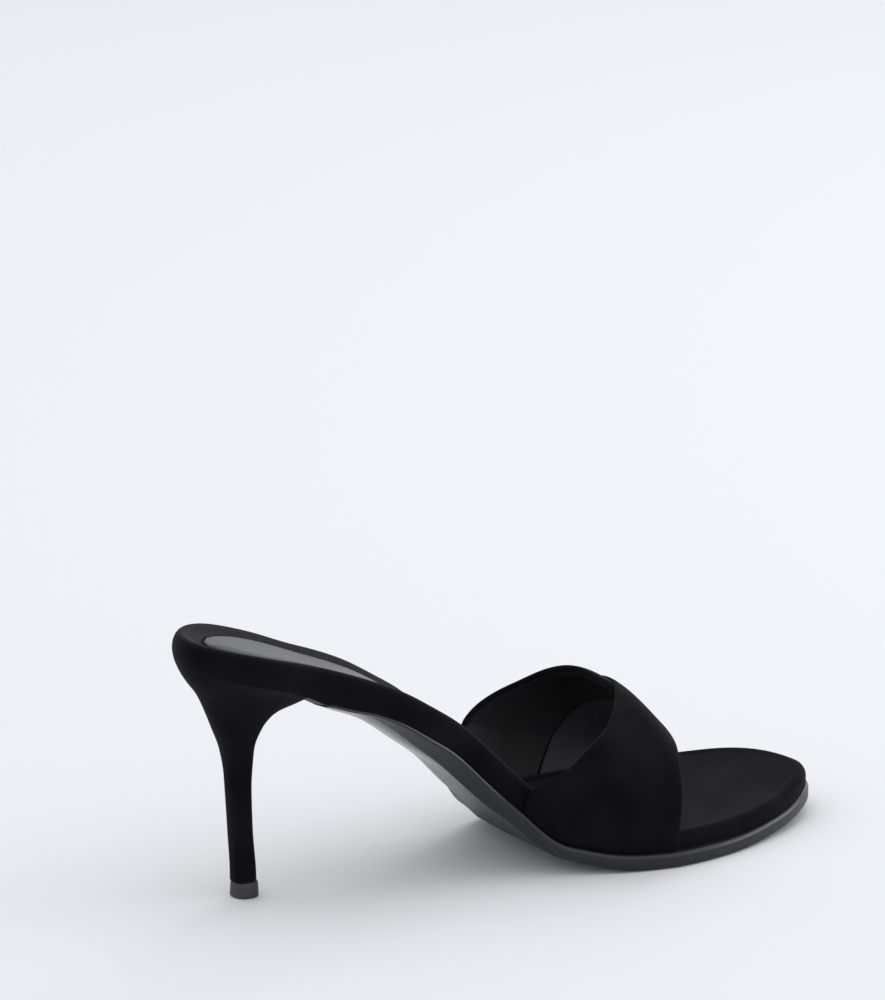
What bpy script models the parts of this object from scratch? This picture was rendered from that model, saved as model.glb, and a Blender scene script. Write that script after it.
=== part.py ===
"""Crossover-band mule sandal on a slim high heel, right shoe, in metres.

The shoe stands on its forefoot and heel tip. Along X it runs from the back
of the seat to the toe tip, Y points to the inner (medial) side and Z up.
Tables and sizes are in millimetres, measured from the back of the seat and
from the floor; place() turns them into metres about the middle of the shoe.
"""
import math

import bmesh
import bpy
from mathutils import Vector

MM = 0.001

# Driving dimensions (mm)
SEAT_BACK = 1.5          # back of the seat, along X
TOE_TIP = 219.5          # tip of the toe, along X
MIDDLE = (110.8, 0.9)    # middle of the whole shoe in plan, the origin of the metres
SEAT_RADIUS = 22.5       # the seat is a half circle in plan
GAP = 0.3                # between pieces that meet
SOLE_GAP = 0.42          # between footbed and outsole, wider because their facets differ
HEEL_TIP = (22.7, 0.0)   # middle of the heel tip on the floor
TOPLIFT_HEIGHT = 4.8
TOPLIFT_HALF = {"floor": 3.9, "rim": 4.0, "top": 3.8}
HEEL_TIP_HALF = 3.65     # half width of the heel just above the toplift
SEAT_EDGE = 0.3          # the heel's top edge stays inside the seat's by this
HEEL_SIDES, TOPLIFT_SIDES = 40, 24
HEEL_BLEND = 1.2         # how sharply the heel's back and breast turn into its sides
ROUNDED_SQUARE = 2 / 2.6     # section of the heel's tip
HEEL_SQUARE = 2 / 3.4    # a squarer breast than the round back
HEEL_SPINE = (16.5, 31.0)    # the heel's top closes on a line between these, from the seat's back
STRAP_WALL = 2.4         # velvet, filler and lining of one band
CROSS_LIFT = 1.0         # how far the outer band is lifted over the inner one
SOCK_THICKNESS = 0.8
CROWN = 0.3              # the bed sinks this much more towards its middle line
FOOT_LIFT = 0.3          # what is left of that lift at the outer band's two feet
CROSS_RAMP = (0.14, 0.17)    # share of the way around that each end takes to lift
FOOT_SPACE = 0.45        # between the footbed's side and the bands
SWELL_RISE = 2.5         # how soon above the feather line the last swells out
OUTER_GRID, INNER_GRID = (12, 56), (10, 56)  # faces along and across each band
BAND_FOOT_CLEAR = 1.4    # the bands' feet stop this far above the feather line
SOCK_START, SOCK_END, SOCK_INSET = 10.5, 112.0, 8.0
OUTSOLE_START = 37.6     # the outsole begins at the heel breast
OUTSOLE_PROUD = 0.6      # its edge stands out this far below the feather line
JOINT_SHARES = (0.0, 0.3, 0.6, 0.82, 1.0)    # lines across the joint of footbed and outsole
ARCH_CURVE = 1.5         # how late the medial side begins to rise to its arch

# Widest place of each side of the forefoot and the roundness of its toe curve
BALL = {"lateral": 150.0, "medial": 158.0}
TOE_CURVE = {"lateral": (1.7, 1.7), "medial": (2.5, 2.25)}

# One row for each station along the sole. "arch" lifts the medial edge,
# "undercut" narrows the outsole's bottom there, and "belly" is how far the
# bottom's middle hangs below its sides.
SOLE_COLUMNS = (
    "x", "lateral", "medial", "bed", "rim", "taper", "dish", "roll",
    "outsole", "edge", "bevel", "belly", "welt", "arch", "undercut",
)
SOLE = [
    (1.5, 22.5, 22.5, 80.4, 8.6, 1.3, 2.0, 7.4, 2.2, 0.2, 2.5, 0.8, -1.6, 0.0, 0.0),
    (12.0, 22.5, 22.5, 78.7, 8.6, 1.3, 2.0, 7.4, 2.2, 0.2, 2.5, 0.8, -1.6, 0.0, 0.0),
    (24.0, 22.5, 22.5, 76.2, 8.7, 1.3, 2.0, 7.4, 2.2, 0.2, 2.5, 0.8, -1.6, 0.0, 0.0),
    (34.0, 22.4, 22.2, 73.4, 9.5, 1.3, 2.0, 7.4, 2.2, 0.2, 2.5, 0.8, -1.6, 0.0, 0.0),
    (45.0, 22.2, 21.4, 69.6, 9.5, 1.0, 2.0, 7.2, 2.9, 0.2, 3.5, 1.5, -1.4, 0.0, 1.0),
    (56.0, 21.8, 20.4, 65.2, 8.3, 0.5, 1.9, 7.0, 4.1, 0.3, 5.0, 2.0, -1.3, 1.2, 3.0),
    (66.0, 21.4, 19.4, 60.6, 8.2, 0.2, 1.9, 6.8, 5.1, 0.5, 7.0, 1.4, -0.7, 1.9, 4.0),
    (76.0, 20.8, 18.8, 54.6, 8.4, 0.0, 1.9, 6.6, 5.8, 0.5, 7.8, 0.9, -0.2, 2.1, 4.5),
    (86.0, 20.8, 18.8, 47.9, 8.6, 0.0, 1.8, 6.4, 6.1, 0.5, 7.0, 0.2, 0.4, 2.4, 7.0),
    (104.0, 23.6, 21.8, 30.4, 8.0, 0.0, 1.5, 6.1, 4.6, 1.0, 4.8, 0.0, 1.8, 2.4, 8.0),
    (120.0, 29.6, 28.2, 15.2, 6.8, 0.0, 1.0, 5.8, 3.9, 2.4, 2.4, 0.0, 2.8, 0.5, 5.0),
    (136.0, 35.0, 34.8, 10.5, 5.7, 0.0, 0.8, 5.8, 4.2, 3.2, 1.2, 0.0, 2.9, 0.0, 0.0),
    (152.0, 37.2, 38.6, 9.6, 5.3, 0.0, 0.6, 5.8, 4.0, 3.2, 0.8, 0.0, 2.6, 0.0, 0.0),
    (170.0, 37.2, 39.0, 9.5, 5.2, 0.0, 0.5, 5.8, 4.0, 3.2, 0.8, 0.0, 2.0, 0.0, 0.0),
    (195.0, 37.2, 39.0, 10.8, 5.2, 0.0, 0.5, 5.8, 3.9, 3.1, 0.8, 0.0, 0.7, 0.0, 0.0),
    (219.5, 37.2, 39.0, 13.6, 5.2, 0.0, 0.5, 5.8, 3.8, 3.0, 0.8, 0.0, 0.5, 0.0, 0.0),
]
# Section of the footbed's rim: steps inside its edge, share of the taper there
# and share of the rim's height
RIM_SECTION = (
    (0.0, 0.7, 0.13), (0.0, 0.2, 0.42), (0.0, 0.0, 0.62), (0.5, 0.0, 0.82), (1.4, 0.0, 0.95),
    (2.7, 0.0, 1.0),
)
FLAT_FROM, FLAT_TO = 138.0, 170.0   # the outsole lies flat on the floor between these

# The heel falls from the seat to its tip. Each row says what share of the
# seat's outreach is left at its back, sides and breast after a share of the fall.
HEEL_COLUMNS = ("fall", "back", "side", "breast", "lean")
HEEL = [
    (0.0, 1.00, 1.00, 1.00, -2.4),
    (0.03, 0.96, 0.83, 0.90, -2.4),
    (0.06, 0.89, 0.69, 0.715, -2.4),
    (0.095, 0.77, 0.58, 0.445, -2.4),
    (0.145, 0.55, 0.47, 0.17, -2.4),
    (0.21, 0.43, 0.33, 0.0, -2.4),
    (0.30, 0.26, 0.17, -0.02, -2.4),
    (0.40, 0.08, 0.10, -0.01, -2.3),
    (0.52, 0.01, 0.03, -0.01, -2.1),
    (0.75, 0.01, 0.0, -0.02, -1.3),
    (1.0, 0.0, 0.0, 0.0, -0.4),
]

# The inner surface of the upper, as sections of the last that it was pulled
# over: where its ridge lies, its height over the feather line, how square it
# is, and how far each side swells past the sole.
LAST_COLUMNS = ("x", "ridge", "height", "squareness", "lateral_swell", "medial_swell")
LAST = [
    (100.0, 12.0, 34.3, 3.0, 2.8, 3.8),
    (113.0, 12.0, 38.3, 3.0, 3.3, 4.8),
    (121.0, 12.0, 41.5, 2.9, 2.7, 4.3),
    (130.0, 12.0, 43.1, 2.5, 1.8, 2.2),
    (137.0, 12.0, 43.0, 2.25, 1.5, 1.5),
    (148.0, 11.5, 41.3, 2.1, 1.2, 1.2),
    (154.0, 10.5, 37.7, 2.1, 1.2, 1.1),
    (160.0, 9.0, 31.4, 2.15, 1.2, 1.0),
    (172.0, 7.0, 20.4, 2.25, 1.1, 1.0),
    (185.0, 5.0, 15.3, 2.3, 1.0, 1.0),
]

# Edges of the two bands. Each row gives a place around the foot, from the
# lateral feather line (0) over the top to the medial one (1), and where each
# band starts and ends there along X.
BAND_COLUMNS = ("around", "outer_back", "outer_front", "inner_back", "inner_front")
BANDS = [
    (0.00, 104.0, 147.0, 141.0, 145.0),
    (0.04, 105.8, 148.5, 142.5, 146.5),
    (0.115, 112.5, 151.0, 144.5, 149.0),
    (0.175, 119.8, 153.3, 146.0, 151.0),
    (0.24, 128.6, 155.0, 148.0, 152.5),
    (0.295, 136.5, 156.5, 149.5, 154.0),
    (0.39, 147.0, 159.5, 151.0, 156.5),
    (0.43, 150.5, 161.0, 150.0, 158.5),
    (0.50, 153.5, 163.5, 148.0, 160.3),
    (0.60, 156.0, 167.5, 143.5, 160.2),
    (0.69, 155.0, 171.0, 138.0, 158.6),
    (0.75, 153.0, 173.5, 131.5, 157.8),
    (0.84, 148.0, 175.5, 122.5, 155.6),
    (0.89, 145.0, 176.0, 117.0, 153.8),
    (0.96, 142.0, 176.5, 107.5, 150.6),
    (1.00, 141.0, 176.5, 104.0, 148.8),
]


def column(table, columns, name, x):
    """Smooth, never overshooting value of one named column at x."""
    i = columns.index(name)
    xs = [row[0] for row in table]
    ys = [row[i] for row in table]
    if x <= xs[0]:
        return ys[0]
    if x >= xs[-1]:
        return ys[-1]
    k = max(j for j in range(len(xs) - 1) if xs[j] <= x)

    def slope(j):
        if j == 0 or j == len(xs) - 1:
            return 0.0
        before = (ys[j] - ys[j - 1]) / (xs[j] - xs[j - 1])
        after = (ys[j + 1] - ys[j]) / (xs[j + 1] - xs[j])
        return 2 * before * after / (before + after) if before * after > 0 else 0.0

    h = xs[k + 1] - xs[k]
    t = (x - xs[k]) / h
    start, end = slope(k) * h, slope(k + 1) * h
    rise = ys[k + 1] - ys[k]
    return ys[k] + start * t + (3 * rise - 2 * start - end) * t**2 + (start + end - 2 * rise) * t**3


def sole(name, x):
    return column(SOLE, SOLE_COLUMNS, name, x)


def last(name, x):
    return column(LAST, LAST_COLUMNS, name, x)


def band(name, around):
    return column(BANDS, BAND_COLUMNS, name, around)


def half_width(side, x):
    """Half width of the footbed: from the table, then the toe's curve."""
    if x < BALL[side]:
        return sole(side, x)
    near, round_off = TOE_CURVE[side]
    share = min(1.0, (x - BALL[side]) / (TOE_TIP - BALL[side]))
    return sole(side, BALL[side]) * (1 - share**near) ** (1 / round_off)


def steepness(x):
    """Turns a thickness square to the bed into a height."""
    step = 1.0
    slope = (sole("bed", x + step) - sole("bed", x - step)) / (2 * step)
    return math.sqrt(1 + slope**2)


def feather(x):
    """Height of the line where footbed and outsole meet."""
    return sole("bed", x) - sole("rim", x) * steepness(x)


def arch(x, y):
    """How far the medial side of the waist is raised here."""
    outward = min(1.0, max(0.0, y) / max(1.0, half_width("medial", x)))
    return sole("arch", x) * outward**ARCH_CURVE


def underside(x):
    """Height of the outsole's bottom: flat on the floor under the forefoot."""
    if FLAT_FROM <= x <= FLAT_TO:
        return 0.0
    height = feather(x) - GAP - sole("outsole", x)
    edge = FLAT_FROM if x < FLAT_FROM else FLAT_TO
    lift = feather(edge) - GAP - sole("outsole", edge)
    return max(0.0, height - lift * max(0.0, 1 - abs(x - edge) / 30.0))


def place(x, y, z):
    """A point in the shoe's millimetres, as world metres about its middle."""
    return Vector(((x - MIDDLE[0]) * MM, (y - MIDDLE[1]) * MM, z * MM))


def mesh_object(name, points, faces):
    mesh = bpy.data.meshes.new(name)
    mesh.from_pydata([place(*p) for p in points], [], faces)
    shape = bmesh.new()
    shape.from_mesh(mesh)
    bmesh.ops.remove_doubles(shape, verts=shape.verts, dist=0.02 * MM)
    bmesh.ops.dissolve_degenerate(shape, dist=0.005 * MM, edges=shape.edges)
    bmesh.ops.recalc_face_normals(shape, faces=shape.faces)
    shape.to_mesh(mesh)
    shape.free()
    item = bpy.data.objects.new(name, mesh)
    COLLECTION.objects.link(item)
    return item


def loft(name, rings):
    """Closed rings joined one after the other; the end rings are already shut."""
    count = len(rings[0])
    points = [p for ring in rings for p in ring]
    faces = []
    for r in range(len(rings) - 1):
        for i in range(count):
            j = (i + 1) % count
            faces.append((r * count + i, r * count + j, (r + 1) * count + j, (r + 1) * count + i))
    return mesh_object(name, points, faces)


def plan_ring(plan, inset, share, height):
    """A closed ring around the sole's plan.

    plan is (start, start_cap, end, end_cap, stations, grow): the ends are
    rounded over their caps, an end_cap of 0 keeps the toe's own curve, and
    grow(x, side) widens one side. inset moves the ring inwards, share draws it
    towards the middle line (0 lies on it), and height gives Z from x.
    """
    start, start_cap, end, end_cap, stations, grow = plan
    first, final = start + start_cap, end - end_cap
    sides = {"lateral": [], "medial": []}
    for i in range(stations + 1):
        x = start + (end - start) * (1 - math.cos(math.pi * i / stations)) / 2
        middle_x = min(max(x, first), final - (0 if end_cap else SEAT_RADIUS))
        middle_y = (half_width("medial", middle_x) - half_width("lateral", middle_x)) / 2
        closing = math.sqrt(max(0.0, 1 - (max(0.0, first - x) / start_cap) ** 2))
        if end_cap:
            closing *= math.sqrt(max(0.0, 1 - (max(0.0, x - final) / end_cap) ** 2))
        for side, sign in (("lateral", -1), ("medial", 1)):
            reach = half_width(side, min(max(x, first), final))
            reach += grow(x, side) * min(1.0, reach / 10)
            out = Vector((x - middle_x, sign * reach * closing - middle_y * closing))
            move = inset(x) if callable(inset) else inset
            out *= share * max(0.0, out.length - move) / max(out.length, 1e-6)
            sides[side].append((middle_x + out.x, middle_y + out.y))
    ring = sides["lateral"] + sides["medial"][::-1][1:-1]
    return [(x, y, height(x) + arch(x, y)) for x, y in ring]


def finish(item, colour, roughness, smooth=35.0):
    material = bpy.data.materials.new(item.name)
    material.use_nodes = True
    surface = material.node_tree.nodes["Principled BSDF"]
    surface.inputs["Base Color"].default_value = (*colour, 1.0)
    surface.inputs["Roughness"].default_value = roughness
    item.data.materials.append(material)
    item.data.shade_smooth()
    item.data.set_sharp_from_angle(angle=math.radians(smooth))
    return item


def make_footbed():
    """Insole board wrapped in velvet: a tapered rim, rolled over at the top, and a dished bed."""
    plan = (SEAT_BACK, SEAT_RADIUS, TOE_TIP, 0, 52, lambda x, side: 0.0)

    def inside(step, taper):
        return lambda x: step + taper * sole("taper", x)

    def roll(x):
        return sole("roll", x)

    def rim(share):
        return lambda x: feather(x) + (sole("bed", x) - feather(x)) * share

    def bed(share):
        return lambda x: sole("bed", x) - sole("dish", x) - CROWN * (1 - share**2)

    rings = [plan_ring(plan, inside(0.6, 1.0), share, feather) for share in JOINT_SHARES]
    for step, taper, share in RIM_SECTION:
        rings.append(plan_ring(plan, inside(step, taper), 1.0, rim(share)))
    rings += [plan_ring(plan, roll, share, bed(share)) for share in (1.0, 0.5, 0.0)]
    return finish(loft("footbed", rings), (0.012, 0.012, 0.014), 0.9)


def make_sock():
    """Thin leather sock on the seat and waist, sunk inside the rim."""
    cap = SEAT_RADIUS - SOCK_INSET
    plan = (SOCK_START, cap, SOCK_END, 5.0, 34, lambda x, side: -SOCK_INSET)

    def bed(lift):
        return lambda x: sole("bed", x) - sole("dish", x) + GAP + lift

    rings = [plan_ring(plan, 0.0, share, bed(0.0)) for share in (0.0, 0.5, 1.0)]
    rings += [plan_ring(plan, 0.0, share, bed(SOCK_THICKNESS)) for share in (1.0, 0.5, 0.0)]
    return finish(loft("sock", rings), (0.05, 0.05, 0.052), 0.35)


def make_outsole():
    """Leather outsole: bevelled through the waist, flat and thicker under the ball."""
    def grown(x, side):
        return sole("welt", x)

    def cut_under(x, side):
        return sole("welt", x) - (sole("undercut", x) if side == "medial" else 0.0)

    plan = (OUTSOLE_START, 3.0, TOE_TIP, 0, 46, grown)
    bottom = (*plan[:-1], cut_under)

    def top(x):
        return feather(x) - SOLE_GAP * steepness(x)

    def shoulder(x):
        return top(x) - 0.6

    def edge(x):
        return max(top(x) - 0.6 - sole("edge", x), underside(x) + 0.5)

    def bevel(x):
        return sole("bevel", x)

    def hanging(x):
        return underside(x) + sole("belly", x)

    rings = [
        *(plan_ring(plan, 0.0, share, top) for share in JOINT_SHARES),
        plan_ring(plan, -OUTSOLE_PROUD, 1.0, shoulder), plan_ring(plan, -OUTSOLE_PROUD, 1.0, edge),
        plan_ring(bottom, bevel, 1.0, hanging), plan_ring(bottom, bevel, 0.5, underside),
        plan_ring(bottom, bevel, 0.0, underside),
    ]
    return finish(loft("outsole", rings), (0.035, 0.035, 0.037), 0.3)


def squircle(angle, half):
    """A point on a rounded square."""
    power = ROUNDED_SQUARE
    c, s = math.cos(angle), math.sin(angle)
    return (half * math.copysign(abs(c) ** power, c), half * math.copysign(abs(s) ** power, s))


def heel_ring(row, seat_breast):
    """The heel's outline after the row's share of the fall from seat to tip."""
    fall, back, side, breast, lean = (row[HEEL_COLUMNS.index(name)] for name in HEEL_COLUMNS)
    centre = SEAT_BACK + SEAT_RADIUS
    reach = SEAT_RADIUS - SEAT_EDGE - sole("taper", SEAT_BACK)
    low = TOPLIFT_HEIGHT + GAP
    ring = []
    for i in range(HEEL_SIDES):
        angle = 2 * math.pi * i / HEEL_SIDES
        c, s = math.cos(angle), math.sin(angle)
        fore = max(0.0, c) ** HEEL_BLEND
        aft = max(0.0, -c) ** HEEL_BLEND
        keep = breast * fore + back * aft + side * (1 - fore - aft)
        power = HEEL_SQUARE if c > 0 else 1.0
        top_x = centre + (seat_breast - centre if c > 0 else reach) * math.copysign(abs(c) ** power, c)
        top_y = reach * math.copysign(abs(s) ** power, s)
        end_x, end_y = squircle(angle, HEEL_TIP_HALF)
        end_x += HEEL_TIP[0] + lean
        high = feather(top_x) - GAP
        x, y = end_x + (top_x - end_x) * keep, end_y + (top_y - end_y) * keep
        ring.append((x, y, high + (low - high) * fall))
    return ring


def make_heel():
    """Velvet-covered heel, swept from the seat's outline down to a slim stem."""
    outlines = [heel_ring(row, OUTSOLE_START - OUTSOLE_PROUD - GAP) for row in HEEL]
    spine = [min(max(x, SEAT_BACK + HEEL_SPINE[0]), SEAT_BACK + HEEL_SPINE[1]) for x, y, z in outlines[0]]
    rings = [[(x, 0.0, feather(x) - GAP) for x in spine]] + outlines
    rings.append([(*HEEL_TIP, TOPLIFT_HEIGHT + GAP)] * HEEL_SIDES)
    return finish(loft("heel", rings), (0.012, 0.012, 0.014), 0.9, 50.0)


def make_toplift():
    """Rubber toplift on the heel tip, a little wider at the floor."""
    floor, rim, top = (TOPLIFT_HALF[name] for name in ("floor", "rim", "top"))
    levels = ((0.0, 0.0), (floor, 0.0), (rim, 0.5), (top, TOPLIFT_HEIGHT), (0.0, TOPLIFT_HEIGHT))
    rings = []
    for half, z in levels:
        points = [squircle(2 * math.pi * i / TOPLIFT_SIDES, half) for i in range(TOPLIFT_SIDES)]
        rings.append([(HEEL_TIP[0] + x, HEEL_TIP[1] + y, z) for x, y in points])
    return finish(loft("toplift", rings), (0.045, 0.045, 0.046), 0.6)


def on_last(x, around, lift):
    """A point of the upper's inner surface, moved outwards by lift."""
    angle = math.pi * around
    c, s = math.cos(angle), math.sin(angle)
    side = "lateral" if c > 0 else "medial"
    sign = -1 if c > 0 else 1
    tall = last("height", x) + lift
    swell = last(side + "_swell", x) * min(1.0, s * SWELL_RISE)
    reach = half_width(side, x) + FOOT_SPACE + swell + lift - sign * last("ridge", x)
    power = 2 / last("squareness", x)
    y = last("ridge", x) + sign * reach * abs(c) ** power
    low = feather(x) + BAND_FOOT_CLEAR + arch(x, y) * (1 - s * s)
    return (x, y, low + tall * abs(s) ** power)


def make_band(name, back, front, lift, along, across):
    """One band as an open sheet on the last, thickened outwards."""
    points, faces = [], []
    for j in range(across + 1):
        around = j / across
        start, end = band(back, around), band(front, around)
        for i in range(along + 1):
            x = start + (end - start) * i / along
            points.append(on_last(x, around, lift(around)))
    row = along + 1
    for j in range(across):
        for i in range(along):
            a = j * row + i
            faces.append((a, a + 1, a + row + 1, a + row))
    item = mesh_object(name, points, faces)
    # the sheet's faces look outwards, away from the foot
    top = max(item.data.polygons, key=lambda face: face.center.z)
    if top.normal.z < 0:
        item.data.flip_normals()
    wall = item.modifiers.new("wall", "SOLIDIFY")
    wall.thickness = STRAP_WALL * MM
    wall.offset = 1.0
    wall.use_even_offset = False
    return item


def make_upper():
    """Two wide bands that cross over the foot, joined into one piece."""
    def over_inner(around):
        # the outer band rides over the inner one and comes down at both feet
        rise = min(1.0, around / CROSS_RAMP[0], (1.0 - around) / CROSS_RAMP[1])
        return FOOT_LIFT + (CROSS_LIFT - FOOT_LIFT) * rise * rise * (3 - 2 * rise)

    outer = make_band("upper", "outer_back", "outer_front", over_inner, *OUTER_GRID)
    inner = make_band("inner_band", "inner_back", "inner_front", lambda around: 0.0, *INNER_GRID)
    inner.hide_render = True
    inner.display_type = "WIRE"
    COLLECTION.objects.unlink(inner)
    CUTTERS.objects.link(inner)
    joined = outer.modifiers.new("joined", "BOOLEAN")
    joined.operation = "UNION"
    joined.object = inner
    return finish(outer, (0.012, 0.012, 0.014), 0.9)


for old in list(bpy.data.objects):
    bpy.data.objects.remove(old, do_unlink=True)
COLLECTION = bpy.data.collections.new("crossover_mule")
CUTTERS = bpy.data.collections.new("joined_forms")
bpy.context.scene.collection.children.link(COLLECTION)
bpy.context.scene.collection.children.link(CUTTERS)

make_outsole()
make_heel()
make_toplift()
make_footbed()
make_sock()
make_upper()
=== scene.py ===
"""Looks of the crossover-band mule: velvet bands, footbed and heel, leather sock and sole.

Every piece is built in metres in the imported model's frame. Tables are in the
shoe's millimetres, counted along X from the seat, along Y to the inner side
and up from the floor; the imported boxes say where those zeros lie.
"""
import math

import bmesh
import bpy
import numpy as np
from mathutils import Matrix, Vector, noise


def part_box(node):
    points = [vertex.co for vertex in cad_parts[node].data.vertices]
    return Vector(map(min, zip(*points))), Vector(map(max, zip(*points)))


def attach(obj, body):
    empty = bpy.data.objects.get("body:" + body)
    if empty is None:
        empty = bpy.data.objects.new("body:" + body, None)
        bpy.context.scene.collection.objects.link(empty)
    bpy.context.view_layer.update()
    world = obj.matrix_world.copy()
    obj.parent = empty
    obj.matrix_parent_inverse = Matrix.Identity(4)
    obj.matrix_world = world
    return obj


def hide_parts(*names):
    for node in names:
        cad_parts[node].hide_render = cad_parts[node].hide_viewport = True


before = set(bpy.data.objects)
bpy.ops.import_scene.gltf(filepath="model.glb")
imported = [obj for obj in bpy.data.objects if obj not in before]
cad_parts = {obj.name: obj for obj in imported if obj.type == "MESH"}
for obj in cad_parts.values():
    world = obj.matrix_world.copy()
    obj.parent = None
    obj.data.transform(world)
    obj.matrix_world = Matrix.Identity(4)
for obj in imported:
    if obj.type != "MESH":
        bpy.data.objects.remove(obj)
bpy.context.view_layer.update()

# ---------------------------------------------------------------------------
# Camera: far away with a long lens, from the outer side and a little above.
# It looks along the shoe's own bearing from a point over the seat's floor
# mark, then turns a little right and up to frame the shoe.
MM = 0.001
SEAT_BACK = 1.5          # the seat's back, along X
BEARING, DROP = math.radians(29.5), math.radians(17.5)
LOOK_RIGHT, LOOK_UP = math.tan(math.radians(2.027)), math.tan(math.radians(3.105))
CAMERA_DISTANCE, CAMERA_LENS = 2.2, 270.07
FILM_WIDTH, FARTHEST = 36.0, 50.0

TIP_LOW, TIP_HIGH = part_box("toplift")
SEAT_LOW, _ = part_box("footbed")
ZERO = Vector((SEAT_LOW.x - SEAT_BACK * MM, (TIP_LOW.y + TIP_HIGH.y) / 2, 0.0))

ahead = Vector((
    math.sin(BEARING) * math.cos(DROP), math.cos(BEARING) * math.cos(DROP), -math.sin(DROP)
))
right = Vector((math.cos(BEARING), -math.sin(BEARING), 0.0))
over = right.cross(ahead)
aim = ahead + right * LOOK_RIGHT + over * LOOK_UP
level = Matrix((right, over, -ahead)).transposed()
camera_data = bpy.data.cameras.new("camera")
camera_data.lens = CAMERA_LENS
camera_data.sensor_width = FILM_WIDTH
camera_data.clip_end = FARTHEST
camera = bpy.data.objects.new("camera", camera_data)
bpy.context.scene.collection.objects.link(camera)
turned = ahead.rotation_difference(aim).to_matrix() @ level
camera.matrix_world = Matrix.Translation(ZERO - ahead * CAMERA_DISTANCE) @ turned.to_4x4()
bpy.context.scene.camera = camera

# ---------------------------------------------------------------------------
# Floor and light: a pale seamless floor under a white surround, one wide
# softbox overhead, a low one off the toe and a small one behind it. The plain
# view transform keeps the white paper white and the velvet black.
FLOOR_HALF = 9.0
FLOOR_COLOUR, FLOOR_ROUGHNESS = (0.83, 0.842, 0.868, 1.0), 0.7
SURROUND, SURROUND_STRENGTH = (0.97, 0.985, 1.0, 1.0), 0.88
LIGHTS = (               # where each stands, its two sides in metres and its watts
    ("overhead", (0.0, 0.3, 1.5), (1.6, 1.2), 3.0),
    ("toe_side", (1.3, -0.3, 0.5), (0.8, 0.5), 3.0),
    ("behind_toe", (1.2, 0.9, 0.9), (0.5, 0.5), 1.6),
)
bpy.context.scene.view_settings.view_transform = "Standard"

floor_mesh = bpy.data.meshes.new("floor")
corners = [(-FLOOR_HALF, -FLOOR_HALF, 0), (FLOOR_HALF, -FLOOR_HALF, 0)]
corners += [(FLOOR_HALF, FLOOR_HALF, 0), (-FLOOR_HALF, FLOOR_HALF, 0)]
floor_mesh.from_pydata(corners, [], [(0, 1, 2, 3)])
floor = bpy.data.objects.new("floor", floor_mesh)
bpy.context.scene.collection.objects.link(floor)
floor_material = bpy.data.materials.new("floor_paper")
floor_material.use_nodes = True
floor_surface = floor_material.node_tree.nodes["Principled BSDF"]
floor_surface.inputs["Base Color"].default_value = FLOOR_COLOUR
floor_surface.inputs["Roughness"].default_value = FLOOR_ROUGHNESS
floor.data.materials.append(floor_material)

world = bpy.data.worlds.new("surround")
world.use_nodes = True
surround = next(node for node in world.node_tree.nodes if node.type == "BACKGROUND")
surround.inputs["Color"].default_value = SURROUND
surround.inputs["Strength"].default_value = SURROUND_STRENGTH
bpy.context.scene.world = world
for light_name, spot, size, power in LIGHTS:
    lamp = bpy.data.lights.new(light_name, "AREA")
    lamp.shape = "RECTANGLE"
    lamp.size, lamp.size_y = size
    lamp.energy = power
    lamp_object = bpy.data.objects.new(light_name, lamp)
    lamp_object.location = spot
    lamp_object.rotation_euler = (-Vector(spot)).to_track_quat("-Z", "Y").to_euler()
    bpy.context.scene.collection.objects.link(lamp_object)

# ---------------------------------------------------------------------------
# Footbed: insole board and shank under black velvet, with a rolled rim and a
# shallow dish. The velvet is one material for every velvet piece: a short
# pile that lies in soft patches, lighter where it is seen along its tips.
TOE_TIP, SEAT_RADIUS = 219.5, 22.5
GAP = 0.3                # between pieces that meet
CROWN = 0.3              # the bed sinks this much more towards its middle line
BALL = {"lateral": 150.0, "medial": 158.0}
TOE_CURVE = {"lateral": (1.7, 1.7), "medial": (2.8, 2.25)}
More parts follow.
